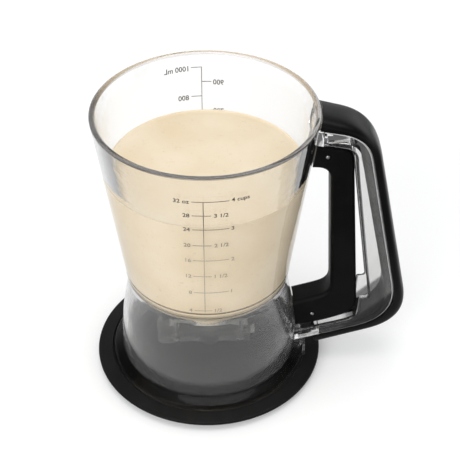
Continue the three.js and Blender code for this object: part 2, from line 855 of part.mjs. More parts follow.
function makeScrews() {
  const headTop = guideTop - earHeight - seatGap;
  return bossPlaces().map(([x, y], i) => piece(`guide_screw_${i + 1}`, revolve([
    [0, headTop - screwHeadHeight],
    [screwHead * 0.75, headTop - screwHeadHeight],
    [screwHead, headTop - screwHeadHeight / 2],
    [screwHead, headTop],
    [screwShank, headTop],
    [screwShank, spoutBottom + pilotDepth - 3 * screwShank],
    [0, spoutBottom + pilotDepth - screwShank],
  ], 12).translate(x, y, 0), steel));
}

const dispenser = new THREE.Group();
const jugGroup = new THREE.Group();
const leverGroup = new THREE.Group();
const gateGroup = new THREE.Group();
jugGroup.add(makeContainer(), makeSkirt(), makeFrame(), makeGrip());
jugGroup.add(makeSeat(), makeGuide(), ...makeScrews());
leverGroup.add(makeLever(), makePin('pivot_pin', pivot), makePin('link_pin', link), makeSpring());
gateGroup.add(makeGate(), makeRod());
jugGroup.add(leverGroup, gateGroup);
dispenser.add(makeTray(), jugGroup);

export default dispenser;
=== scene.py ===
# %% [markdown]
# # A pancake batter dispenser
# This lesson dresses a clear measuring jug that stands on a black drip tray. A lever inside its handle
# pulls a gate open under the funnel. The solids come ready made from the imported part, and each cell
# gives one piece its final form or its finish. All lengths are written in millimetres and turned into
# Blender's metres by one factor.

import math

import bmesh
import bpy
from mathutils import Matrix, Vector


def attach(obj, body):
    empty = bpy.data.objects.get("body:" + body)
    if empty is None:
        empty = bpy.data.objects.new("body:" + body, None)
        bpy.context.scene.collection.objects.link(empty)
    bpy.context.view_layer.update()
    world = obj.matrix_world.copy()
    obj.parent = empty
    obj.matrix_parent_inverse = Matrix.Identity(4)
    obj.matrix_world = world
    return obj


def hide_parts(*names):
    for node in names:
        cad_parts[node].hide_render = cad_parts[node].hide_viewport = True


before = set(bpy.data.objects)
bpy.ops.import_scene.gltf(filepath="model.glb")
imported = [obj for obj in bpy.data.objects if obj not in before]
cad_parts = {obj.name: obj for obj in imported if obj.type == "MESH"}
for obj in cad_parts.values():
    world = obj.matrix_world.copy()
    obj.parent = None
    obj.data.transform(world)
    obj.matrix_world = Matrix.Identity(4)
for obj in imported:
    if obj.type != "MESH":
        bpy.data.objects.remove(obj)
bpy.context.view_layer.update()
scene = bpy.context.scene
MM = 0.001


# %% An object for each piece
def place_in_scene(name, data):
    """Give a mesh, a lamp or a camera its object in the scene."""
    made = bpy.data.objects.new(name, data)
    scene.collection.objects.link(made)
    return made


# %% [markdown]
# ## The camera
# The photograph looks down on the jug at 39 degrees from about three quarters of a metre. The place,
# the turn and the lens below come from fitting the ellipses of the rim, the batter, the waist and the
# tray. A camera looks along its own -Z, so its matrix is built from the right, up and backward
# directions.

# %% Camera
EYE = Vector((1.796, -552.45, 547.04)) * MM
PITCH, YAW, ROLL = math.radians(39.06), math.radians(1.24), math.radians(-0.03)
FOCAL_PIXELS, PHOTO_PIXELS, SENSOR = 1181.25, 460, 36.0

forward = Vector((math.sin(YAW) * math.cos(PITCH), math.cos(YAW) * math.cos(PITCH), -math.sin(PITCH)))
level_right = forward.cross(Vector((0, 0, 1))).normalized()
level_up = level_right.cross(forward)
right = level_right * math.cos(ROLL) + level_up * math.sin(ROLL)
up = level_up * math.cos(ROLL) - level_right * math.sin(ROLL)

camera_data = bpy.data.cameras.new("camera")
camera_data.sensor_width = SENSOR
camera_data.lens = SENSOR * FOCAL_PIXELS / PHOTO_PIXELS
camera_data.clip_start = 0.02
camera = place_in_scene("camera", camera_data)
camera.matrix_world = Matrix.Translation(EYE) @ Matrix((right, up, -forward)).transposed().to_4x4()
scene.camera = camera
print("lens", round(camera_data.lens, 2), "mm")


# %% [markdown]
# ## Helpers for node trees
# Every finish and two of the shapes are node trees. These helpers add a node and feed its inputs in one
# call. An input takes a plain value, or the output of another node, which is then wired to it.


# %% Adding and feeding nodes
def feed(tree, made, inputs):
    """Give a node's inputs their values, or wire other nodes' outputs to them."""
    for key, value in inputs.items():
        if isinstance(value, bpy.types.NodeSocket):
            tree.links.new(value, made.inputs[key])
        else:
            made.inputs[key].default_value = value


def node(tree, kind, place=(0, 0), inputs=None, **settings):
    made = tree.nodes.new(kind)
    made.location = place
    for key, value in settings.items():
        setattr(made, key, value)
    feed(tree, made, inputs or {})
    return made


# %% Nodes for numbers and colours
def maths(tree, operation, *values, place=(0, 0)):
    return node(tree, "ShaderNodeMath", place, dict(enumerate(values)), operation=operation).outputs[0]


def ramp(tree, source, low, high, start=0.0, end=1.0, place=(0, 0)):
    """Turn the source's run from low to high into one from start to end, and hold it past both."""
    return node(tree, "ShaderNodeMapRange", place, {
        "Value": source, "From Min": low, "From Max": high, "To Min": start, "To Max": end}).outputs["Result"]


def noise(tree, where, scale, detail=2.0, place=(0, 0)):
    return node(tree, "ShaderNodeTexNoise", place, {
        "Vector": where, "Scale": scale, "Detail": detail}).outputs["Fac"]


def blend(tree, share, first, second, place=(0, 0)):
    return node(tree, "ShaderNodeMix", place, {
        "Factor": share, "A": first, "B": second}, data_type="RGBA").outputs["Result"]


def any_of(tree, outputs):
    """Join Light Path answers, each 0 or 1, into one that is 1 where any of them is."""
    total = outputs[0]
    for output in outputs[1:]:
        total = maths(tree, "MAXIMUM", total, output)
    return total


# %% New materials and groups
def new_material(name):
    material = bpy.data.materials.new(name)
    material.use_nodes = True
    return material, material.node_tree, material.node_tree.nodes["Principled BSDF"]


def new_group(name, kind, inputs, outputs):
    """A node group with its named sockets, and the two nodes that stand for them inside it."""
    group = bpy.data.node_groups.new(name, kind)
    for way, sockets in (("INPUT", inputs), ("OUTPUT", outputs)):
        for label, socket in sockets:
            group.interface.new_socket(label, in_out=way, socket_type="NodeSocket" + socket)
    return group, node(group, "NodeGroupInput", (-900, 0)), node(group, "NodeGroupOutput", (800, 0))


# %% [markdown]
# ## Light and backdrop
# The photograph is a product shot on white: soft light from all round, a little more of it from above
# and from the front left. The world gives the even part, and two wide soft boxes give the direction.
# A ray straight from the camera finds plain white. Mirrored and refracted rays find a studio instead: a
# white cove that rises behind the jug, a white ceiling and a dimmer room between them. That room draws
# the dark streaks without which clear plastic on white could hardly be seen.

# %% World
scene.view_settings.view_transform = "Standard"
world = bpy.data.worlds.new("studio")
world.use_nodes = True
scene.world = world
sky = world.node_tree
sky.nodes.clear()
ray = node(sky, "ShaderNodeTexCoord", (-800, -200)).outputs["Generated"]
slope = node(sky, "ShaderNodeSeparateXYZ", (-600, -200), {0: ray}).outputs
CEILING = (0.76, 0.94)


def backdrop(dimmest, tilt, starts, ends, y):
    """White cove that rises behind the jug, white ceiling, and a dimmer room between the two."""
    rise = maths(sky, "MULTIPLY_ADD", slope["Y"], -tilt, slope["Z"], place=(-500, y))
    cove = ramp(sky, rise, starts, ends, 1.0, dimmest, place=(-300, y))
    ceiling = ramp(sky, slope["Z"], *CEILING, dimmest, 1.0, place=(-300, y - 120))
    return node(sky, "ShaderNodeBackground", (0, y), {"Color": any_of(sky, [cove, ceiling])})


soft = node(sky, "ShaderNodeBackground", (0, 0), {"Color": (0.98, 0.99, 1.0, 1), "Strength": 0.76})
white = node(sky, "ShaderNodeBackground", (0, 150), {"Color": (1, 1, 1, 1)})
in_gloss = backdrop(0.08, 0.2, 0.18, 0.42, -200)
in_glass = backdrop(0.15, 0.35, 0.0, 0.2, -450)
path = node(sky, "ShaderNodeLightPath", (-400, 200))
total = soft
for asked, answer in (("Is Camera Ray", white), ("Is Glossy Ray", in_gloss),
                      ("Is Transmission Ray", in_glass)):
    total = node(sky, "ShaderNodeMixShader", (300, 0), {
        0: path.outputs[asked], 1: total.outputs[0], 2: answer.outputs[0]})
node(sky, "ShaderNodeOutputWorld", (600, 0), {0: total.outputs[0]})
print("world", len(sky.nodes), "nodes")


# %% Lamps
def lamp(name, place, target, size, watts):
    data = bpy.data.lights.new(name, "AREA")
    data.shape = "RECTANGLE"
    data.size, data.size_y = size
    data.energy = watts
    made = place_in_scene(name, data)
    made.location = place
    made.rotation_euler = (Vector(target) - Vector(place)).to_track_quat("-Z", "Y").to_euler()


lamp("top_softbox", (0.1, -0.1, 1.4), (0, 0, 0.08), (0.9, 0.7), 5.0)
lamp("front_softbox", (-0.8, -1.3, 0.9), (0, 0, 0.1), (1.2, 0.9), 12.2)

# %% [markdown]
# ## The floor
# An ordinary pale surface catches the shadow at the foot. A ray from the camera, or one that comes by
# way of gloss or glass, also finds a glow on it that grows further out. So the picture's ground stays
# white from every side, while the object gets no extra light from it. To mirrored rays the floor is a
# sheet of paper in the dim room: it darkens past its edge, which the shiny pieces show as contrast.

# %% Floor
REACH, BELOW = 6.0, 0.0002
floor_mesh = bpy.data.meshes.new("floor")
floor_mesh.from_pydata(
    [(-REACH, -REACH, 0), (REACH, -REACH, 0), (REACH, REACH, 0), (-REACH, REACH, 0)], [], [(0, 1, 2, 3)])
floor = place_in_scene("floor", floor_mesh)
floor.location.z = -BELOW
print("floor", 2 * REACH, "m wide")

# %% Glow of the floor
GLOW_REACH, GLOW_STRENGTH = (0.3, 1.1), (0.21, 0.42)
floor_material = bpy.data.materials.new("white_ground")
floor_material.use_nodes = True
tree = floor_material.node_tree
tree.nodes.clear()
asked = node(tree, "ShaderNodeLightPath", (-400, 200)).outputs
where = node(tree, "ShaderNodeTexCoord", (-800, 200)).outputs["Object"]
from_jug = node(tree, "ShaderNodeVectorMath", (-600, -160), {0: where}, operation="LENGTH")
glow = node(tree, "ShaderNodeEmission", (0, -160), {
    "Strength": ramp(tree, from_jug.outputs["Value"], *GLOW_REACH, *GLOW_STRENGTH, place=(-400, -160))})
dark = node(tree, "ShaderNodeEmission", (0, -300), {"Strength": 0.0})
looked_at = any_of(tree, [asked["Is Camera Ray"], asked["Is Glossy Ray"], asked["Is Transmission Ray"]])
pick = node(tree, "ShaderNodeMixShader", (200, -160), {0: looked_at, 1: dark.outputs[0], 2: glow.outputs[0]})
matt = node(tree, "ShaderNodeBsdfDiffuse", (0, 0), {"Color": (0.8, 0.8, 0.8, 1)})
lit = node(tree, "ShaderNodeAddShader", (400, 0), {0: matt.outputs[0], 1: pick.outputs[0]})

# %% Edge of the paper
PAPER_MIDDLE, PAPER_REACH, DARKENING = (0, 0.45, 0), (0.36, 0.6), 0.92
from_middle = node(tree, "ShaderNodeVectorMath", (-600, 500), {
    0: where, 1: PAPER_MIDDLE}, operation="DISTANCE")
off_paper = ramp(tree, from_middle.outputs["Value"], *PAPER_REACH, 0.0, DARKENING, place=(-400, 500))
mirrored = maths(
    tree, "GREATER_THAN", asked["Is Glossy Ray"], asked["Is Transmission Ray"], place=(-400, 350))
past_edge = maths(tree, "MULTIPLY", off_paper, mirrored, place=(-200, 500))
room = node(tree, "ShaderNodeMixShader", (500, 0), {0: past_edge, 1: lit.outputs[0], 2: dark.outputs[0]})
node(tree, "ShaderNodeOutputMaterial", (700, 0), {0: room.outputs[0]})
floor_mesh.materials.append(floor_material)
print("ground", len(tree.nodes), "nodes")

# %% [markdown]
# ## Shared effects
# Moulded plastic is never quite flat: the mould leaves a fine spark-eroded grain, and the surface rolls
# a little where the plastic shrank. Both go into one node group, so each material places it with its
# own scale. The group only puts out numbers that change over the surface; the shader stays in the
# material.


# %% Moulded grain group
def moulded_grain_group():
    group, enter, leave = new_group(
        "moulded grain", "ShaderNodeTree", [("Grain per metre", "Float"), ("Roll per metre", "Float")],
        [("Height", "Float"), ("Wear", "Float")])
    where = node(group, "ShaderNodeTexCoord", (-700, 300)).outputs["Object"]
    grain = noise(group, where, enter.outputs["Grain per metre"], 3.0, place=(-350, 200))
    roll = noise(group, where, enter.outputs["Roll per metre"], 2.0, place=(-350, -80))
    feed(group, leave, {
        "Height": maths(group, "MULTIPLY_ADD", roll, 2.5, grain, place=(0, 100)),
        "Wear": ramp(group, roll, 0.38, 0.68, place=(0, -150))})
    return group


GRAIN = moulded_grain_group()
print("group", GRAIN.name, [s.name for s in GRAIN.interface.items_tree])


# %% Grain on a shader
def mould_surface(tree, shader, grain, roughness, depth):
    """Let the mould's grain set a shader's roughness and bump. Give back where it is rubbed."""
    effect = node(tree, "ShaderNodeGroup", (-700, 0), {
        "Grain per metre": grain[0], "Roll per metre": grain[1]}, node_tree=GRAIN)
    bump = node(tree, "ShaderNodeBump", (-300, -300), {"Distance": depth, "Height": effect.outputs["Height"]})
    feed(tree, shader, {
        "Roughness": ramp(tree, effect.outputs["Wear"], 0.0, 1.0, *roughness, place=(-300, -50)),
        "Normal": bump.outputs["Normal"]})
    return effect.outputs["Wear"]


# %% [markdown]
# ## Painted light and shade along an axis
# Some pieces get painted shade and painted light that grow from one end to the other: painted shade
# darkens the frame's heel, the bottom of the grip's core and the rim's left side, and painted light
# brightens the rim's far side. A second group blends this painted tint in along an axis. It measures in
# metres from the jug's axis at the table, times the length of the axis given.


# %% Painted tint along an axis group
def painted_tint_along_group():
    group, enter, leave = new_group(
        "painted tint along an axis", "ShaderNodeTree",
        [("Colour", "Color"), ("Tint", "Color"), ("Axis", "Vector"), ("Starts", "Float"), ("Full", "Float")],
        [("Colour", "Color")])
    where = node(group, "ShaderNodeTexCoord", (-700, 300)).outputs["Object"]
    along = node(group, "ShaderNodeVectorMath", (-400, 300), {
        0: where, 1: enter.outputs["Axis"]}, operation="DOT_PRODUCT").outputs["Value"]
    share = ramp(group, along, enter.outputs["Starts"], enter.outputs["Full"], place=(-200, 200))
    feed(group, leave, {
        "Colour": blend(group, share, enter.outputs["Colour"], enter.outputs["Tint"], place=(100, 0))})
    return group


PAINTED_TINT_ALONG = painted_tint_along_group()
print("group", PAINTED_TINT_ALONG.name, [s.name for s in PAINTED_TINT_ALONG.interface.items_tree])


def add_painted_tints(tree, output, colour, painted_tints):
    """Blend in painted light and shade, each tint given by its axis, where it starts, where it is full,
    and its share of the colour."""
    for axis, starts, full, share in painted_tints:
        output = node(tree, "ShaderNodeGroup", (-100, 450), {
            "Colour": output, "Tint": (*(share * value for value in colour), 1), "Axis": axis,
            "Starts": starts, "Full": full}, node_tree=PAINTED_TINT_ALONG).outputs["Colour"]
    return output


# %% [markdown]
# ## Opaque plastics
# The tray and the lever are hard black plastic with a satin mould finish. The grip is a softer plastic
# with a broad, dull sheen, and its core is seen through the frame, so it gets a paler finish of its
# own. They differ in colour, roughness and grain size, so one function makes them all from those
# numbers. Roughness and a trace of grey follow the rubbed places.


# %% Moulded plastic
GRAIN_DEPTH = 0.00004


def moulded(name, colour, worn, roughness, grain=(2600, 60), shine=0.5, painted_tints=()):
    material, tree, shader = new_material(name)
    wear = mould_surface(tree, shader, grain, roughness, GRAIN_DEPTH)
    shade = blend(tree, wear, (*colour, 1), (*worn, 1), place=(-300, 200))
    feed(tree, shader, {"Base Color": add_painted_tints(tree, shade, colour, painted_tints), "Specular IOR Level": shine})
    return material


tray_black = moulded(
    "tray_black", (0.0065, 0.0065, 0.0065), (0.0085, 0.0085, 0.0085), (0.4, 0.48), shine=0.15)
lever_black = moulded(
    "lever_black", (0.003, 0.003, 0.003), (0.0045, 0.0045, 0.0045), (0.42, 0.5), shine=0.12)
grip_soft = moulded("grip_soft", (0.0025, 0.0025, 0.0025), (0.004, 0.004, 0.004), (0.3, 0.38), shine=0.26)
# The core's tint darkens its bottom at the heel: painted shade.
core_satin = moulded("core_satin", (0.075, 0.075, 0.073), (0.11, 0.11, 0.108), (0.5, 0.6), shine=0.3,
                     painted_tints=[((0, 0, -1), -0.056, -0.043, 0.12)])
rod_black = moulded("rod_black", (0.02, 0.02, 0.02), (0.03, 0.03, 0.03), (0.4, 0.5))
gate_grey = moulded("gate_grey", (0.26, 0.26, 0.25), (0.3, 0.3, 0.29), (0.35, 0.45))
seat_silicone = moulded("seat_silicone", (0.7, 0.68, 0.62), (0.74, 0.72, 0.67), (0.5, 0.6), grain=(900, 40))
print("plastics", [material.name for material in (tray_black, lever_black, grip_soft, core_satin)])

# %% [markdown]
# ## Clear plastic
# The jug and the handle frame are clear. Glass in Cycles throws a black shadow unless light paths are
# found through it, so rays on their way to a lamp pass straight through instead: a Mix Shader hands
# them a Transparent shader. What the eye sees stays true glass, with bends and reflections. A ray that
# has been thrown about inside the wall many times is let out straight, for otherwise it ends as a black
# patch. The tint deepens where the eye looks along the wall and so through more of it. Edges and seams
# gather light or lose it, so the bright ones get a painted highlight and the dark ones painted shade.
# Haze is the share of the light that a finish scatters instead.

# %% Clear plastics
STRAIGHT = (0.94, 0.94, 0.94, 1)
CLEAR_GRAIN, CLEAR_DEPTH = (120, 22), 0.00006
GRAZING_SHARE, GRAZING_POWER = 0.3, 4.0
MOST_MIRRORED, MOST_BENDS = 2.5, 8.5


def clear(name, colour, roughness, ior=1.5, haze=0.0, painted_tints=()):
    material, tree, shader = new_material(name)
    mould_surface(tree, shader, CLEAR_GRAIN, roughness, CLEAR_DEPTH)
    facing = node(tree, "ShaderNodeLayerWeight", (-700, 300)).outputs["Facing"]
    grazing = maths(tree, "POWER", facing, GRAZING_POWER, place=(-500, 300))
    deep = (*(GRAZING_SHARE * value for value in colour), 1)
    shade = blend(tree, grazing, (*colour, 1), deep, place=(-300, 300))
    feed(tree, shader, {
        "Base Color": add_painted_tints(tree, shade, colour, painted_tints), "IOR": ior, "Transmission Weight": 1.0 - haze})
    path = node(tree, "ShaderNodeLightPath", (-300, 400)).outputs
    lets_go = [path["Is Shadow Ray"], path["Is Diffuse Ray"]]
    for depth, most in (("Glossy Depth", MOST_MIRRORED), ("Ray Depth", MOST_BENDS)):
        lets_go.append(maths(tree, "GREATER_THAN", path[depth], most, place=(0, 400)))
    straight = node(tree, "ShaderNodeBsdfTransparent", (0, 150), {"Color": STRAIGHT})
    mix = node(tree, "ShaderNodeMixShader", (500, 0), {
        0: any_of(tree, lets_go), 1: shader.outputs[0], 2: straight.outputs[0]})
    feed(tree, tree.nodes["Material Output"], {"Surface": mix.outputs[0]})
    return material


jug_clear = clear("jug_clear", (0.975, 0.975, 0.97), (0.0, 0.03))
# The rim's dark colour is painted shade. Its tints add painted shade on the left side and painted light on
# the far side.
rim_painted_light_and_shade = clear("rim_painted_light_and_shade", (0.37, 0.352, 0.34), (0.15, 0.25), haze=0.12,
                  painted_tints=[((-1, 0, 0), 0.015, 0.06, 0.15), ((0, 1, 0), 0.01, 0.055, 2.1)])
skirt_clear = clear("skirt_clear", (0.95, 0.95, 0.945), (0.05, 0.1), haze=0.03)
# The frame's tint darkens its heel: painted shade.
frame_clear = clear("frame_clear", (0.86, 0.86, 0.855), (0.0, 0.03),
                    painted_tints=[((1, 0, -1), 0.0565, 0.059, 0.25)])
# Painted highlight: a hazy pale finish for the frame's outer rounded edges.
painted_edge_highlight = clear("painted_edge_highlight", (0.95, 0.95, 0.94), (0.2, 0.3), haze=0.7)
# Painted shade: a dark finish for the frame's inner edges.
painted_edge_shade = clear("painted_edge_shade", (0.2, 0.2, 0.2), (0.02, 0.08), haze=0.05)
# Painted shade: a dark finish for the jug's foot ring, where the black tray shows through.
painted_foot_shade = clear("painted_foot_shade", (0.32, 0.32, 0.32), (0.03, 0.08), ior=1.2)
# Painted shade: a dark finish for the two grooves of the weld.
painted_seam_shade = clear("painted_seam_shade", (0.1, 0.095, 0.085), (0.25, 0.35), haze=0.4)
guide_clear = clear("guide_clear", (0.2, 0.2, 0.195), (0.2, 0.3), haze=0.12)
print("clear", len(jug_clear.node_tree.nodes), "nodes in", jug_clear.name)

# %% [markdown]
# ## Steel
# The two pins, the return spring and the screws are plain stainless steel. Drawn wire and turned
# pins carry fine scratches, which a stretched noise in the roughness shows.


# %% Steel
def turned_steel():
    material, tree, shader = new_material("steel")
    where = node(tree, "ShaderNodeTexCoord", (-900, 0)).outputs["Object"]
    stretch = node(tree, "ShaderNodeMapping", (-700, 0), {"Vector": where, "Scale": (4000, 300, 4000)})
    scratches = noise(tree, stretch.outputs["Vector"], 1.0, place=(-500, 0))
    feed(tree, shader, {
        "Base Color": (0.6, 0.61, 0.62, 1), "Metallic": 1.0,
        "Roughness": ramp(tree, scratches, 0.0, 1.0, 0.18, 0.38, place=(-250, 0))})
    return material


steel = turned_steel()
print("steel", len(steel.node_tree.nodes), "nodes")

# %% [markdown]
# ## Turned forms
# The jug, the tray and the batter are all round, so each is an outline of radius and height turned
# about the axis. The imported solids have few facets, which glass would show at once, so these pieces
# are turned again with many more. A spline through the same points softens the bell of the skirt.


# %% From a form to a piece
def piece_of(name, form):
    mesh = bpy.data.meshes.new(name)
    form.to_mesh(mesh)
    form.free()
    return place_in_scene(name, mesh)


def smooth(piece, degrees):
    """Shade a piece smoothly, with sharp edges where it turns by more than so many degrees."""
    mesh = piece.data
    mesh.polygons.foreach_set("use_smooth", [True] * len(mesh.polygons))
    mesh.set_sharp_from_angle(angle=math.radians(degrees))


def dress(piece, *materials):
    piece.data.materials.clear()
    for material in materials:
        piece.data.materials.append(material)


# %% Turning an outline
def turned(name, outline, facets=192):
    """Turn an outline of (radius, height) in millimetres. It starts and ends on the axis, or closes."""
    form = bmesh.new()
    angles = [2 * math.pi * i / facets for i in range(facets)]
    rings = []
    for radius, height in outline:
        if radius < 1e-6:
            rings.append([form.verts.new((0, 0, height * MM))])
        else:
            rings.append([form.verts.new((radius * MM * math.cos(a), radius * MM * math.sin(a), height * MM))
                          for a in angles])
    closed = len(rings[0]) > 1
    for low, high in list(zip(rings, rings[1:])) + ([(rings[-1], rings[0])] if closed else []):
        for i in range(facets):
            j = (i + 1) % facets
            corners = [low[i % len(low)], low[j % len(low)], high[j % len(high)], high[i % len(high)]]
            form.faces.new(list(dict.fromkeys(corners)))
    bmesh.ops.recalc_face_normals(form, faces=form.faces)
    return piece_of(name, form)


def curve_through(points, steps=5):
    """A Catmull-Rom spline through the points, ends included."""
    padded = [points[0]] + list(points) + [points[-1]]
    line = []
    for a, b, c, d in zip(padded, padded[1:], padded[2:], padded[3:]):
        for i in range(steps):
            t = i / steps
            line.append(tuple(
                0.5 * (2 * q + (r - p) * t + (2 * p - 5 * q + 4 * r - s) * t * t
                       + (3 * q - p - 3 * r + s) * t ** 3)
                for p, q, r, s in zip(a, b, c, d)))
    return line + [tuple(points[-1])]


# %% [markdown]
# ## Prisms for the handle
# Seen from the side the handle's parts are outlines with eased corners, carried across the jug. The
# same corners as in the solid are written here, with the length over which each corner is eased.


# %% Easing and insetting an outline
EASE_STEPS = 8


def bend(start, corner, end, steps):
    """Points on the curve that eases a corner, without its end."""
    shares = [i / steps for i in range(steps)]
    return [start * (1 - t) ** 2 + corner * 2 * t * (1 - t) + end * t * t for t in shares]


def eased(corners):
    line = []
    for i, corner in enumerate(corners):
        here = Vector(corner[:2])
        ease = corner[2] if len(corner) > 2 else 0
        before = Vector(corners[i - 1][:2])
        after = Vector(corners[(i + 1) % len(corners)][:2])
        if not ease:
            line.append(here)
            continue
        start = here + (before - here).normalized() * ease
        end = here + (after - here).normalized() * ease
        line += bend(start, here, end, EASE_STEPS) + [end]
    return line


def inset(line, distance):
    """Move a closed line inwards by a distance."""
    after = line[1:] + line[:1]
    side = math.copysign(1, sum(a.x * b.y - b.x * a.y for a, b in zip(line, after)))
    moved = []
    for before, here, ahead in zip(line[-1:] + line[:-1], line, after):
        a, b = (here - before).normalized(), (ahead - here).normalized()
        square = Vector((-a.y, a.x)) * side
        lean = (square + Vector((-b.y, b.x)) * side).normalized()
        moved.append(here + lean * distance / max(0.4, lean.dot(square)))
    return moved


# %% Prisms
PIN_HOLE = 1.55


def loft(name, rings):
    """Join rings of points into a closed skin with flat ends."""
    form = bmesh.new()
    rings = [[form.verts.new(point) for point in ring] for ring in rings]
    form.faces.new(rings[0])
    form.faces.new(rings[-1])
    for low, high in zip(rings, rings[1:]):
        for i in range(len(low)):
            j = (i + 1) % len(low)
            form.faces.new((low[i], low[j], high[j], high[i]))
    bmesh.ops.recalc_face_normals(form, faces=form.faces)
    return piece_of(name, form)


def prism(name, corners, half_width, rounding=0.0, middle=0.0):
    """Carry an outline of (x, z) corners across the jug. Its long edges get a quarter round."""
    line = eased(corners)
    line = [here for i, here in enumerate(line) if (here - line[i - 1]).length > 1e-4]
    angles = [math.pi / 2 * i / 5 for i in range(6)] if rounding else [math.pi / 2]
    half = [(half_width - rounding * (1 - math.sin(a)), rounding * (1 - math.cos(a))) for a in angles]
    return loft(name, [[(p.x * MM, (middle + y) * MM, p.y * MM) for p in inset(line, depth)]
                       for y, depth in [(-y, depth) for y, depth in half[::-1]] + half])


def pin_hole(centre, half_width):
    angles = [2 * math.pi * i / 32 for i in range(32)]
    ring = [(centre[0] + PIN_HOLE * math.cos(a), centre[1] + PIN_HOLE * math.sin(a)) for a in angles]
    return prism("pin_hole", ring, half_width)


# %% Baking, shading and combining
def bake(piece):
    """Turn a piece and its modifiers into a plain mesh."""
    depsgraph = bpy.context.evaluated_depsgraph_get()
    mesh = bpy.data.meshes.new_from_object(piece.evaluated_get(depsgraph))
    piece.modifiers.clear()
    piece.data = mesh


def even_shading(piece, degrees=34):
    """Smooth the rounds and keep large flat faces flat to the eye."""
    smooth(piece, degrees)
    weigh = piece.modifiers.new("even shading", "WEIGHTED_NORMAL")
    weigh.keep_sharp = True
    bake(piece)


def combine(piece, other, operation):
    step = piece.modifiers.new(operation.lower(), "BOOLEAN")
    step.operation = operation
    step.solver = "EXACT"
    step.object = other
    bake(piece)
    bpy.data.objects.remove(other)


# %% [markdown]
# ## The jug
# Two clear mouldings, welded at the waist. The upper one is a straight cone with the funnel and the
# spout in its floor, the lower one a bell-shaped skirt with the foot ring. Two fine grooves show where
# they meet. Each outline is turned as a closed wall, so that light bends at its outer and inner faces
# as it does in the real wall.

# %% Jug outlines
RIM, RIM_TOP, WALL = 65.0, 185.3, 3.2
WAIST, WAIST_TOP = 49.3, 67.0
SKIRT, SKIRT_WALL, SKIRT_FOOT, FOOT_RING = 55.2, 2.8, 11.8, 61.3
WELD, WELD_TOP, LAP = 76.25, 77.0, 69.2
SPOUT, FUNNEL_LOW, FUNNEL, FUNNEL_TOP = 6.0, 50.0, 46.9, 73.1
BELL = [(0, 1), (0.1, 0.875), (0.4, 0.695), (0.71, 0.515), (0.9, 0.335), (1, 0.155), (0.985, 0.04), (1, 0)]


def wall_radius(height):
    return WAIST + (height - WAIST_TOP) / (RIM_TOP - WAIST_TOP) * (RIM - WAIST)


def on_wall(height, inwards=0.0):
    return wall_radius(height) - inwards, height


def bell(inwards):
    return [(WAIST + out * (SKIRT - WAIST) - inwards, SKIRT_FOOT + rise * (WAIST_TOP - SKIRT_FOOT))
            for out, rise in curve_through(BELL)]


container_outline = eased([
    (RIM, RIM_TOP, 1.4), on_wall(WELD_TOP), on_wall(WELD_TOP, 1.6), on_wall(LAP, 1.6), (45.3, LAP, 2),
    (11.6, 49.2, 3), (10.5, 46), (10.5, 31.3, 0.4), (7.6, 31.3), (7.6, 35.2), (SPOUT, 35.2),
    (SPOUT, FUNNEL_LOW, 2.5), (FUNNEL, FUNNEL_TOP, 2), (RIM - WALL, RIM_TOP, 1.4)])
skirt_outline = eased([
    on_wall(WELD), on_wall(72.8), (wall_radius(72.8) - 0.3, 72.7), (wall_radius(72.4) - 0.3, 72.4),
    on_wall(72.3), *bell(0), (61, 9.1, 1.2), (FOOT_RING, 6.0, 0.9), (SKIRT - SKIRT_WALL, 6.0),
    *bell(SKIRT_WALL)[:-1][::-1], (WAIST - SKIRT_WALL, 69.5), on_wall(69.5, 1.7), on_wall(WELD, 1.7)])
print("outlines", len(container_outline), len(skirt_outline), "points")


# %% Room round the jug
def jug_room(gap):
    """The jug's outside grown by a gap, to cut what stands against it."""
    return turned("jug_room", [
        (0, 192), (RIM + gap, 192), (RIM + gap, 183.8), on_wall(WELD_TOP, -gap), *bell(-gap),
        (FOOT_RING + gap, 9), (FOOT_RING + gap, 5), (0, 5)])


# %% Container welded to the skirt
jug = turned("jug", container_outline)
combine(jug, prism("stub", [(60.5, 178.4), (66.0, 177.33), (66.0, 166.96), (59.0, 168.25)], 11.5), "UNION")
skirt = turned("skirt", skirt_outline)
combine(skirt, prism("gusset", [(54.0, 8.0), (61.1, 8.0), (61.1, 17.66), (54.0, 15.5)], 16.5), "UNION")
combine(skirt, prism("slot", [(44, 21.55), (67, 21.55), (67, 42.0), (44, 42.0)], 5.8), "DIFFERENCE")
combine(jug, skirt, "UNION")
smooth(jug, 34)
print("jug", len(jug.data.polygons), "faces")

# %% [markdown]
# The rim, the foot ring and the two grooves of the weld look darker than the wall, because light takes
# other ways through them, so they get painted shade: darker finishes. The rim also gets painted light on
# its far side. The skirt is a little duller. Each face gets its finish by its height and by how far out
# it lies.

# %% Finishes of the jug, with painted shade
LIP, FOOT_TOP = 183.95, 12.4
GROOVES = ((76.2, 77.05), (72.3, 72.8))


def jug_finish(out, height):
    # The rim, the foot ring and the weld's grooves get painted shade.
    if height > LIP:
        return rim_painted_light_and_shade
    if height < FOOT_TOP and out > 50:
        return painted_foot_shade
    if any(low < height < high for low, high in GROOVES) and out > 48:
        return painted_seam_shade
    if height < 76.2 and out > 46.3 and out > wall_radius(height) - WALL:
        return skirt_clear
    return jug_clear


finishes = [jug_clear, rim_painted_light_and_shade, skirt_clear, painted_foot_shade, painted_seam_shade]
dress(jug, *finishes)
for face in jug.data.polygons:
    x, y, z = face.center / MM
    face.material_index = finishes.index(jug_finish(math.hypot(x, y), z))
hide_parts("jug_container", "jug_skirt")
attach(jug, "jug")
print("finishes", [material.name for material in jug.data.materials])

# %% [markdown]
# ## The batter
# Batter wets the wall, so there is no air between the two. If its mesh stopped short of the wall, the
# glass would show a mirror-like gap. Its outside therefore lies a hair inside the wall's thickness. At
# the top it climbs the wall in a small meniscus, and its surface is smooth and slightly uneven from
# settled bubbles.

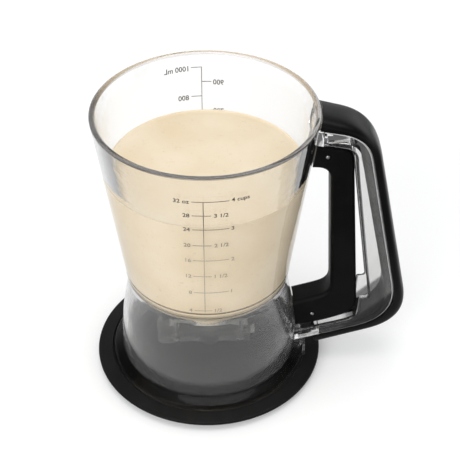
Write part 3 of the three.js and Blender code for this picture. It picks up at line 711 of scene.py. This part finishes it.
# %% Batter
LEVEL, SINK = 147.0, 0.18
edge = wall_radius(LEVEL) - WALL
batter_outline = eased([
    (0, 26.2), (5.8, 26.2), (5.8, 34.9), (SPOUT + SINK, 35.4), (SPOUT + SINK, FUNNEL_LOW - SINK, 2.5),
    (FUNNEL + SINK, FUNNEL_TOP - SINK, 2), (wall_radius(LEVEL + 0.9) - WALL + SINK, LEVEL + 0.9),
    (edge - 0.5, LEVEL + 0.35, 0.3), (edge - 2.0, LEVEL, 0.8), (40, LEVEL - 0.1, 4), (0, LEVEL)])
batter = turned("batter", batter_outline, 160)
smooth(batter, 60)


def batter_finish():
    material, tree, shader = new_material("batter")
    where = node(tree, "ShaderNodeTexCoord", (-1300, 0)).outputs["Object"]
    cloud = noise(tree, where, 28, 4, place=(-1000, 200))
    speck = noise(tree, where, 420, 3, place=(-1000, -100))
    cream = blend(tree, ramp(tree, cloud, 0.35, 0.7, place=(-750, 200)),
                  (0.835, 0.714, 0.535, 1), (0.766, 0.627, 0.43, 1), place=(-500, 200))
    dots = ramp(tree, speck, 0.62, 0.78, 0.0, 0.5, place=(-750, -100))
    bump = node(tree, "ShaderNodeBump", (-250, -200), {"Distance": 0.00015, "Height": cloud})
    feed(tree, shader, {
        "Base Color": blend(tree, dots, cream, (0.66, 0.5, 0.33, 1), place=(-250, 200)),
        "Roughness": 0.42, "Specular IOR Level": 0.35, "Normal": bump.outputs["Normal"]})
    return material


dress(batter, batter_finish())
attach(batter, "jug")
print("batter", len(batter.data.polygons), "faces")

# %% [markdown]
# ## The drip tray
# A low black disc. Its edge is thin and rounded, its top rises slightly towards the recess that
# holds the jug's foot ring, and its middle is a shallow dish.

# %% Tray
tray = turned("tray", eased([
    (0, 0), (47, 0), (49.2, 2.2), (57.4, 2.2), (59.6, 0), (63.6, 0), (65.8, 4.1), (71.5, 4.1, 0.9),
    (71.5, 6.1, 0.9), (62.1, 7.4, 0.7), (62.1, 5.7), (47, 5.7), (43.9, 2.6), (0, 2.6)]))
smooth(tray, 38)
dress(tray, tray_black)
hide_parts("drip_tray")
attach(tray, "tray")
print("tray", len(tray.data.polygons), "faces")


# %% [markdown]
# ## Pieces that keep the solid's form
# The pins, the spring and the parts of the valve already have their shape in the solid. A solid arrives
# as loose triangles, so a copy is merged and its flat areas are joined into whole faces. Where a radius
# is given, the sharp corners then get the small radius that a mould leaves, which is what catches the
# light along every edge.


# %% Softening a copy of a solid
def softened(name, source, material, body, radius=0.0, degrees=30):
    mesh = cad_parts[source].data.copy()
    mesh.name = name
    made = place_in_scene(name, mesh)
    form = bmesh.new()
    form.from_mesh(mesh)
    bmesh.ops.remove_doubles(form, verts=form.verts, dist=0.00001)
    bmesh.ops.dissolve_limit(form, angle_limit=math.radians(0.6), verts=form.verts, edges=form.edges)
    form.to_mesh(mesh)
    form.free()
    if radius:
        edge = made.modifiers.new("edge", "BEVEL")
        edge.width = radius * MM
        edge.segments = 2
        edge.limit_method = "ANGLE"
        edge.angle_limit = math.radians(degrees)
        edge.use_clamp_overlap = True
        bake(made)
    smooth(made, degrees)
    dress(made, material)
    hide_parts(source)
    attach(made, body)
    print(name, len(made.data.polygons), "faces")


softened("lever_rod", "pull_rod", rod_black, "gate", 0.35)
softened("gate", "gate_plate", gate_grey, "gate", 0.3)
softened("seat_ring", "valve_seat", seat_silicone, "jug")
softened("gate_guide", "valve_guide", guide_clear, "jug", 0.35)
for part in ("pivot_pin", "link_pin", "return_spring"):
    softened(part + "_steel", part, steel, "lever", degrees=50)

# %% [markdown]
# ## The handle
# The clear frame is a channel that is open towards the lever. Behind its thin web the walls run on,
# and the soft grip's core fills the room between them. A copy of the solid would do, but its bends have
# few facets, so the frame and the core are cut again as prisms out of prisms with finer bends.

# %% Outlines of the handle
FRAME = [(44.01, 12.8), (119.57, 35.6, 28), (91.7, 172.5, 16), (58.1, 178.81), (58.1, 168.4),
         (84.21, 163.6, 6.6), (85.59, 150, 6.6), (99.33, 52.5, 3.45), (93.92, 53, 1.72), (93.18, 36.5, 5.46),
         (83.98, 32.8, 4.31), (44.01, 21.61)]
CHANNEL = [(68.8, 168), (86.62, 168, 11.5), (113.57, 38.39, 23), (44.01, 17.4), (58.1, 36.6), (68.8, 157.39)]
LEVER = [(55.97, 165.31), (84, 162.19, 9.03), (93.5, 37.8, 10.98), (72.99, 30.09, 5.98), (44.01, 23.55),
         (44.01, 43.51), (66, 50.2, 2.87), (75.9, 54, 7.19), (71.1, 149.2, 7.99), (55.97, 149.61)]
CREST = [(58, 186.89), (96.6, 175.8, 21), (126.6, 33.21, 23.98), (66.5, 13.8)]
PIVOT, LINK = (69.1, 157.39), (65.3, 36.6)
FRAME_HALF, CHANNEL_HALF, CORE_HALF = 11.5, 9.5, 9.2


def foot_edge(x):
    return 12.8 + (x - 44.01) * 0.30175


def core_run(gap, past, end=0.3):
    """The room for the grip's core, from its bed out past the frame's edge."""
    low, heel = 70 + end, 114.97 + gap
    return [(84.55 + end, 169.24 + gap), (88.04 + gap, 168.58 + gap, 2.875),
            (heel, foot_edge(heel) + 3.2 - gap, 23.4), (low, foot_edge(low) + 3.2 - gap),
            (low, foot_edge(low) - past), (119.57 + past, 35.6 - past, 28),
            (91.7 + past, 172.5 + past, 6.9), (84.55 + end, 173.84 + past)]


print("outlines", len(FRAME), len(CHANNEL), len(LEVER), "corners")

# %% Clear frame
clear_frame = prism("clear_frame", FRAME, FRAME_HALF, 1.7)
combine(clear_frame, prism("channel", CHANNEL, CHANNEL_HALF), "DIFFERENCE")
combine(clear_frame, prism("core_room", core_run(0, 6, 0), CHANNEL_HALF), "DIFFERENCE")
for side in (-1, 1):
    ear = [(66, 172), (66, 154.29, 1.55), (72.2, 154.29, 1.55), (72.2, 172)]
    combine(clear_frame, prism("ear", ear, 1.3, 0.3, side * 4.95), "UNION")
combine(clear_frame, pin_hole(PIVOT, FRAME_HALF), "DIFFERENCE")
combine(clear_frame, prism("head", [(52, 92), (66.3, 92), (66.3, 191), (52, 191)], 13), "DIFFERENCE")
combine(clear_frame, jug_room(0.3), "DIFFERENCE")
even_shading(clear_frame)
print("frame", len(clear_frame.data.polygons), "faces")

# %% [markdown]
# On the real frame the rounded outer edges shine, while the inner ones, which look into the channel,
# look dark. So the outer rounds get a painted highlight and the inner edges painted shade, and each
# face of an edge is asked which way it leans and whether it looks outwards.

# %% Painted highlight and shade on the frame's edges
dress(clear_frame, frame_clear, painted_edge_highlight, painted_edge_shade)
MIDDLE, EDGE_FROM = Vector((0.086, 0, 0.1)), 9.75 * MM
FLANK, ROUNDED, FLAT = 0.35, 0.95, 0.995
for face in clear_frame.data.polygons:
    lean, out_from = abs(face.normal.y), face.center - MIDDLE
    outer = face.normal.x * out_from.x + face.normal.z * out_from.z > 0
    in_notch = face.center.x < 0.0985 and 0.0485 < face.center.z < 0.056
    if abs(face.center.y) > EDGE_FROM and FLANK < lean < FLAT and not in_notch:
        # Outer rounds get the painted highlight, inner edges the painted shade.
        face.material_index = (1 if lean < ROUNDED else 0) if outer else 2
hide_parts("handle_frame")
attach(clear_frame, "jug")
print("edges", sum(face.material_index > 0 for face in clear_frame.data.polygons), "faces")

# %% [markdown]
# The soft grip is a cover moulded over the frame's outside. A prism with rounded edges would give it a
# flat back, so its half-round section is carried along two lines instead, one at the frame's edge and
# one at the crest. The core is joined to it, and the drain slot and the jug are cut out of it.

# %% Soft grip
HALF_SECTION = [(0, 1), (0.25, 0.995), (0.5, 0.965), (0.72, 0.89), (0.88, 0.74), (0.97, 0.52), (1, 0.3),
                (1, 0)]
GRIP_HALF, GRIP_GAP = 12.98, 0.3


def bend_line(corners):
    """Points along three straights and two bends, so that two such lines match point by point."""
    first, one, two, last = [Vector(corner[:2]) for corner in corners]

    def towards(start, end, ease):
        return start + (end - start).normalized() * ease

    stops = [first, towards(one, first, corners[1][2]), towards(one, two, corners[1][2]),
             towards(two, one, corners[2][2]), towards(two, last, corners[2][2]), last]
    line = []
    for part, (start, end) in enumerate(zip(stops, stops[1:])):
        middle = {1: one, 3: two}.get(part, (start + end) / 2)
        line += bend(start, middle, end, 16 if part in (1, 3) else 7)
    return line + [last]


def dome():
    section = curve_through([(-u, v) for u, v in HALF_SECTION[::-1]] + HALF_SECTION[1:], 4)
    foot = bend_line([(58.1, 178.81), (91.7, 172.5, 16), (119.57, 35.6, 28), (66.5, 19.585)])
    rings = []
    for low, high in zip(foot, bend_line(CREST)):
        rise = (high - low) * 0.993
        lift = GRIP_GAP / rise.length
        places = [(low + rise * (lift + v * (1 - lift)), u) for u, v in section]
        rings.append([(p.x * MM, GRIP_HALF * u * MM, p.y * MM) for p, u in places])
    return loft("grip", rings)


grip = dome()
combine(grip, prism("core", core_run(-1.65, 1), CORE_HALF), "UNION")
combine(grip, prism("drain", [(68.16, 6), (93.18, 6), (93.18, 36.6), (68.16, 36.6)], 7.2), "DIFFERENCE")
combine(grip, jug_room(0.5), "DIFFERENCE")
even_shading(grip, 40)
dress(grip, grip_soft, core_satin)
for face in grip.data.polygons:
    if abs(abs(face.center.y) - CORE_HALF * MM) < 0.02 * MM and abs(face.normal.y) > 0.99:
        face.material_index = 1
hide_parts("handle_grip")
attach(grip, "jug")
print("grip", len(grip.data.polygons), "faces")

# %% [markdown]
# The squeeze lever is a bar with wide roundings. Its head turns on the pivot pin and its foot holds the
# rod by the link pin, so each end has a pocket: one for the frame's ears and one for the rod's eye.

# %% Squeeze lever
HEAD_POCKET = [(64.4, 152.69), (73.8, 152.69), (73.8, 186), (64.4, 186)]
FOOT_POCKET = [(43.3, 16), (72.7, 16), (72.7, 42.1), (43.3, 42.1)]
lever = prism("lever", LEVER, 8.8, 2.8)
combine(lever, prism("head_pocket", HEAD_POCKET, 6.7), "DIFFERENCE")
combine(lever, prism("foot_pocket", FOOT_POCKET, 5.7), "DIFFERENCE")
for centre in (PIVOT, LINK):
    combine(lever, pin_hole(centre, 14.8), "DIFFERENCE")
combine(lever, jug_room(0.8), "DIFFERENCE")
even_shading(lever)
dress(lever, lever_black)
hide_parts("squeeze_lever")
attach(lever, "lever")
print("lever", len(lever.data.polygons), "faces")

# %% [markdown]
# ## Printed scales
# The scale is a thin layer of grey ink on the outside of the cone. It is drawn flat first, as lines
# and numbers in millimetres along the wall and up it, and given the ink's thickness. A small
# Geometry Nodes tree then wraps the whole drawing round the cone, so that lines stay level and
# figures keep their shape.


# %% Wrapping tree
def wrap_tree():
    tree, enter, leave = new_group(
        "wrap on cone", "GeometryNodeTree",
        [("Geometry", "Geometry"), ("Radius at table", "Float"), ("Flare", "Float"), ("Facing", "Float"),
         ("Ink", "Material")], [("Geometry", "Geometry")])
    given = enter.outputs
    flat = node(tree, "ShaderNodeSeparateXYZ", (-700, -200), {
        0: node(tree, "GeometryNodeInputPosition", (-900, -200)).outputs[0]}).outputs
    wall = maths(tree, "MULTIPLY_ADD", flat["Z"], given["Flare"], given["Radius at table"], place=(-500, 0))
    radius = maths(tree, "SUBTRACT", wall, flat["Y"], place=(-300, 0))
    turn = maths(tree, "DIVIDE", flat["X"], wall, place=(-300, -200))
    angle = maths(tree, "ADD", turn, given["Facing"], place=(-120, -200))
    sine = maths(tree, "SINE", angle, place=(50, -100))
    cosine = maths(tree, "COSINE", angle, place=(50, -300))
    across = maths(tree, "MULTIPLY", radius, sine, place=(200, -100))
    deep = maths(tree, "MULTIPLY", radius, cosine, place=(200, -300))
    back = maths(tree, "MULTIPLY", deep, -1.0, place=(350, -300))
    put = node(tree, "ShaderNodeCombineXYZ", (500, -200), {"X": across, "Y": back, "Z": flat["Z"]})
    move = node(tree, "GeometryNodeSetPosition", (500, 0), {
        "Geometry": given["Geometry"], "Position": put.outputs[0]})
    real = node(tree, "GeometryNodeRealizeInstances", (600, 0), {0: move.outputs[0]})
    ink = node(tree, "GeometryNodeSetMaterial", (700, 0), {
        "Geometry": real.outputs[0], "Material": given["Ink"]})
    feed(tree, leave, {0: ink.outputs[0]})
    return tree


WRAP = wrap_tree()
print("tree", WRAP.name, len(WRAP.nodes), "nodes")


# %% Running a tree on a piece
def grown(piece, tree, sizes):
    """Run a tree on a piece with its inputs set by name, and keep what it makes as a plain mesh."""
    step = piece.modifiers.new(tree.name, "NODES")
    step.node_group = tree
    for socket in tree.interface.items_tree:
        if socket.in_out == "INPUT" and socket.name in sizes:
            step[socket.identifier] = sizes[socket.name]
    bake(piece)


# %% [markdown]
# The ink is darker towards the top, where it stands in front of the empty wall. Lower down it is painted
# paler and warmer: painted light of the batter behind it. A fine noise makes the cover uneven.

# %% Ink
INK_DEPTH, LINE = 0.06, 0.42


def ink_finish():
    material, tree, shader = new_material("grey_ink")
    where = node(tree, "ShaderNodeTexCoord", (-900, 0)).outputs["Object"]
    height = node(tree, "ShaderNodeSeparateXYZ", (-700, 0), {0: where}).outputs["Z"]
    # Painted light: below the top the ink turns paler and warmer, as if lit by the batter behind it.
    fade = ramp(tree, height, 0.122, 0.162, place=(-500, 0))
    patchy = noise(tree, where, 900, place=(-700, -250))
    cover = maths(tree, "MULTIPLY_ADD", patchy, 0.25, fade, place=(-300, -100))
    feed(tree, shader, {
        "Base Color": blend(tree, cover, (0.4, 0.355, 0.285, 1), (0.07, 0.067, 0.06, 1), place=(-100, 100)),
        "Roughness": 0.55})
    return material


grey_ink = ink_finish()
print("ink", INK_DEPTH, "mm thick")


# %% Drawing a line flat
def bar(form, left, right, low, high):
    """A flat bar of ink, cut into short lengths so that it can bend round the cone."""
    cuts = max(1, int(abs(right - left) / 1.2))
    rises = max(1, int(abs(high - low) / 8))
    sheet = {}
    for side in (0, 1):
        for i in range(cuts + 1):
            for k in range(rises + 1):
                x = left + (right - left) * i / cuts
                z = low + (high - low) * k / rises
                sheet[side, i, k] = form.verts.new((x * MM, (0.01 - side * INK_DEPTH) * MM, z * MM))
    for i in range(cuts):
        for k in range(rises):
            for side in (0, 1):
                loop = [sheet[side, i + a, k + b] for a, b in ((0, 0), (1, 0), (1, 1), (0, 1))]
                form.faces.new(loop if side else loop[::-1])
    ring = ([(i, 0) for i in range(cuts)] + [(cuts, k) for k in range(rises)]
            + [(i, rises) for i in range(cuts, 0, -1)] + [(0, k) for k in range(rises, 0, -1)])
    for (a, b), (c, d) in zip(ring, ring[1:] + ring[:1]):
        form.faces.new((sheet[0, a, b], sheet[0, c, d], sheet[1, c, d], sheet[1, a, b]))


# %% Drawing a figure flat
def figure(form, words, x, z, size, align="LEFT"):
    """Add a word of ink. Its edge nearest the scale is at x, and its middle height at z."""
    curve = bpy.data.curves.new("figure", "FONT")
    curve.body = words
    curve.size = size
    curve.extrude = INK_DEPTH / 2
    curve.offset = 0.07
    curve.resolution_u = 3
    letter = place_in_scene("figure", curve)
    mesh = bpy.data.meshes.new_from_object(letter.evaluated_get(bpy.context.evaluated_depsgraph_get()))
    bpy.data.objects.remove(letter)
    xs = [v.co.x for v in mesh.vertices]
    ys = [v.co.y for v in mesh.vertices]
    low, high = min(xs), max(xs)
    start = x if align == "LEFT" else x - (high - low)
    middle = (min(ys) + max(ys)) / 2
    part = bmesh.new()
    part.from_mesh(mesh)
    bmesh.ops.remove_doubles(part, verts=part.verts, dist=0.0005)
    for v in part.verts:
        px, py, pz = v.co
        v.co = ((start + (px - low)) * MM, (0.01 - INK_DEPTH / 2 - pz) * MM, (z + py - middle) * MM)
    bmesh.ops.recalc_face_normals(part, faces=part.faces)
    part.to_mesh(mesh)
    part.free()
    form.from_mesh(mesh)
    bpy.data.meshes.remove(mesh)


# %% Printing a drawing on the cone
def printed(name, form, facing):
    """Wrap a flat drawing round the cone and turn it into a plain piece that rides on the jug."""
    made = piece_of(name, form)
    flare = (RIM - WAIST) / (RIM_TOP - WAIST_TOP)
    at_table = (WAIST - flare * WAIST_TOP) * MM
    grown(made, WRAP, {"Radius at table": at_table, "Flare": flare, "Facing": facing, "Ink": grey_ink})
    dress(made, grey_ink)
    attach(made, "jug")
    print(name, len(made.data.polygons), "faces")


# %% Front scale, cups and ounces
OUNCES = [(168.4, "32 oz", "4 cups"), (158.1, "28", "3 1/2"), (147.4, "24", "3"), (135.0, "20", "2 1/2"),
          (122.8, "16", "2"), (109.7, "12", "1 1/2"), (95.8, "8", "1"), (80.0, "4", "1/2")]
SPINE_LEFT, SPINE_RIGHT = -1.75 - LINE / 2, -1.75 + LINE / 2
front = bmesh.new()
bar(front, SPINE_LEFT, SPINE_RIGHT, 78.5, 168.4)
for i, (z, ounce, cup) in enumerate(OUNCES):
    tick, words = (2.4, 4.0) if i % 2 else (12.2, 13.4)
    bar(front, -7.9, SPINE_LEFT, z - LINE / 2, z + LINE / 2)
    bar(front, SPINE_RIGHT, tick, z - LINE / 2, z + LINE / 2)
    figure(front, ounce, -9.1, z, 3.9, align="RIGHT")
    figure(front, cup, words, z, 3.9)
printed("front_scale", front, 0.0)

# %% Back scale, millilitres
MILLILITRES = [(174.6, "1000 mL"), (165.2, "900"), (155.7, "800"), (146.3, "700"), (135.9, "600"),
               (125.6, "500"), (114.8, "400"), (103.4, "300"), (91.2, "200"), (77.5, "100")]
SPINE_LEFT, SPINE_RIGHT = 2.1 - LINE / 2, 2.1 + LINE / 2
rear = bmesh.new()
bar(rear, SPINE_LEFT, SPINE_RIGHT, 77.0, 174.8)
for i, (z, amount) in enumerate(MILLILITRES):
    if i % 2 == 0:
        bar(rear, SPINE_RIGHT, 8.6, z - LINE / 2, z + LINE / 2)
        figure(rear, amount, 10.2, z - 0.6, 4.6)
    else:
        bar(rear, -3.9, SPINE_LEFT, z - LINE / 2, z + LINE / 2)
        figure(rear, amount, -4.9, z - 0.3, 4.6, align="RIGHT")
printed("back_scale", rear, math.pi)


# %% [markdown]
# ## The guide's screws
# Four equal screws hold the guide to the jug. What repeats is best made once and placed by a tree:
# a grid with two points each way gives the places, and one screw stands on every point.


# %% Screws by Geometry Nodes
def screw_tree():
    labels = ("Spacing X", "Spacing Y", "Head underside", "Head radius", "Head height", "Shank radius",
              "Tip height")
    tree, enter, leave = new_group(
        "four screws", "GeometryNodeTree",
        [(label, "Float") for label in labels] + [("Finish", "Material")], [("Geometry", "Geometry")])
    given = enter.outputs
    grid = node(tree, "GeometryNodeMeshGrid", (-500, 300), {
        "Vertices X": 2, "Vertices Y": 2, "Size X": given["Spacing X"], "Size Y": given["Spacing Y"]})
    underside = given["Head underside"]
    length = maths(tree, "SUBTRACT", given["Tip height"], underside, place=(-700, -300))
    half_head = maths(tree, "MULTIPLY_ADD", given["Head height"], -0.5, underside, place=(-300, 120))
    half_shank = maths(tree, "MULTIPLY_ADD", length, 0.5, underside, place=(-300, -420))
    both = node(tree, "GeometryNodeJoinGeometry", (200, 0))
    for sides, radius, depth, middle, y in ((24, given["Head radius"], given["Head height"], half_head, 0),
                                            (16, given["Shank radius"], length, half_shank, -300)):
        part = node(tree, "GeometryNodeMeshCylinder", (-500, y), {
            "Vertices": sides, "Radius": radius, "Depth": depth})
        centre = node(tree, "ShaderNodeCombineXYZ", (-100, y - 100), {"Z": middle})
        shift = node(tree, "GeometryNodeTransform", (50, y), {
            "Geometry": part.outputs["Mesh"], "Translation": centre.outputs[0]})
        feed(tree, both, {0: shift.outputs[0]})
    stand = node(tree, "GeometryNodeInstanceOnPoints", (400, 0), {
        "Points": grid.outputs["Mesh"], "Instance": both.outputs[0]})
    real = node(tree, "GeometryNodeRealizeInstances", (550, 0), {0: stand.outputs[0]})
    finish = node(tree, "GeometryNodeSetMaterial", (680, 0), {
        "Geometry": real.outputs[0], "Material": given["Finish"]})
    feed(tree, leave, {0: finish.outputs[0]})
    return tree


screws = place_in_scene("guide_screws", bpy.data.meshes.new("guide_screws"))
grown(screws, screw_tree(), {
    "Spacing X": 40 * MM, "Spacing Y": 31.2 * MM, "Head underside": 27.1 * MM, "Head radius": 2.6 * MM,
    "Head height": 1.9 * MM, "Shank radius": 1.25 * MM, "Tip height": 40.5 * MM, "Finish": steel})
smooth(screws, 40)
dress(screws, steel)
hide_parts("guide_screw_1", "guide_screw_2", "guide_screw_3", "guide_screw_4")
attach(screws, "jug")
print("screws", len(screws.data.polygons), "faces")
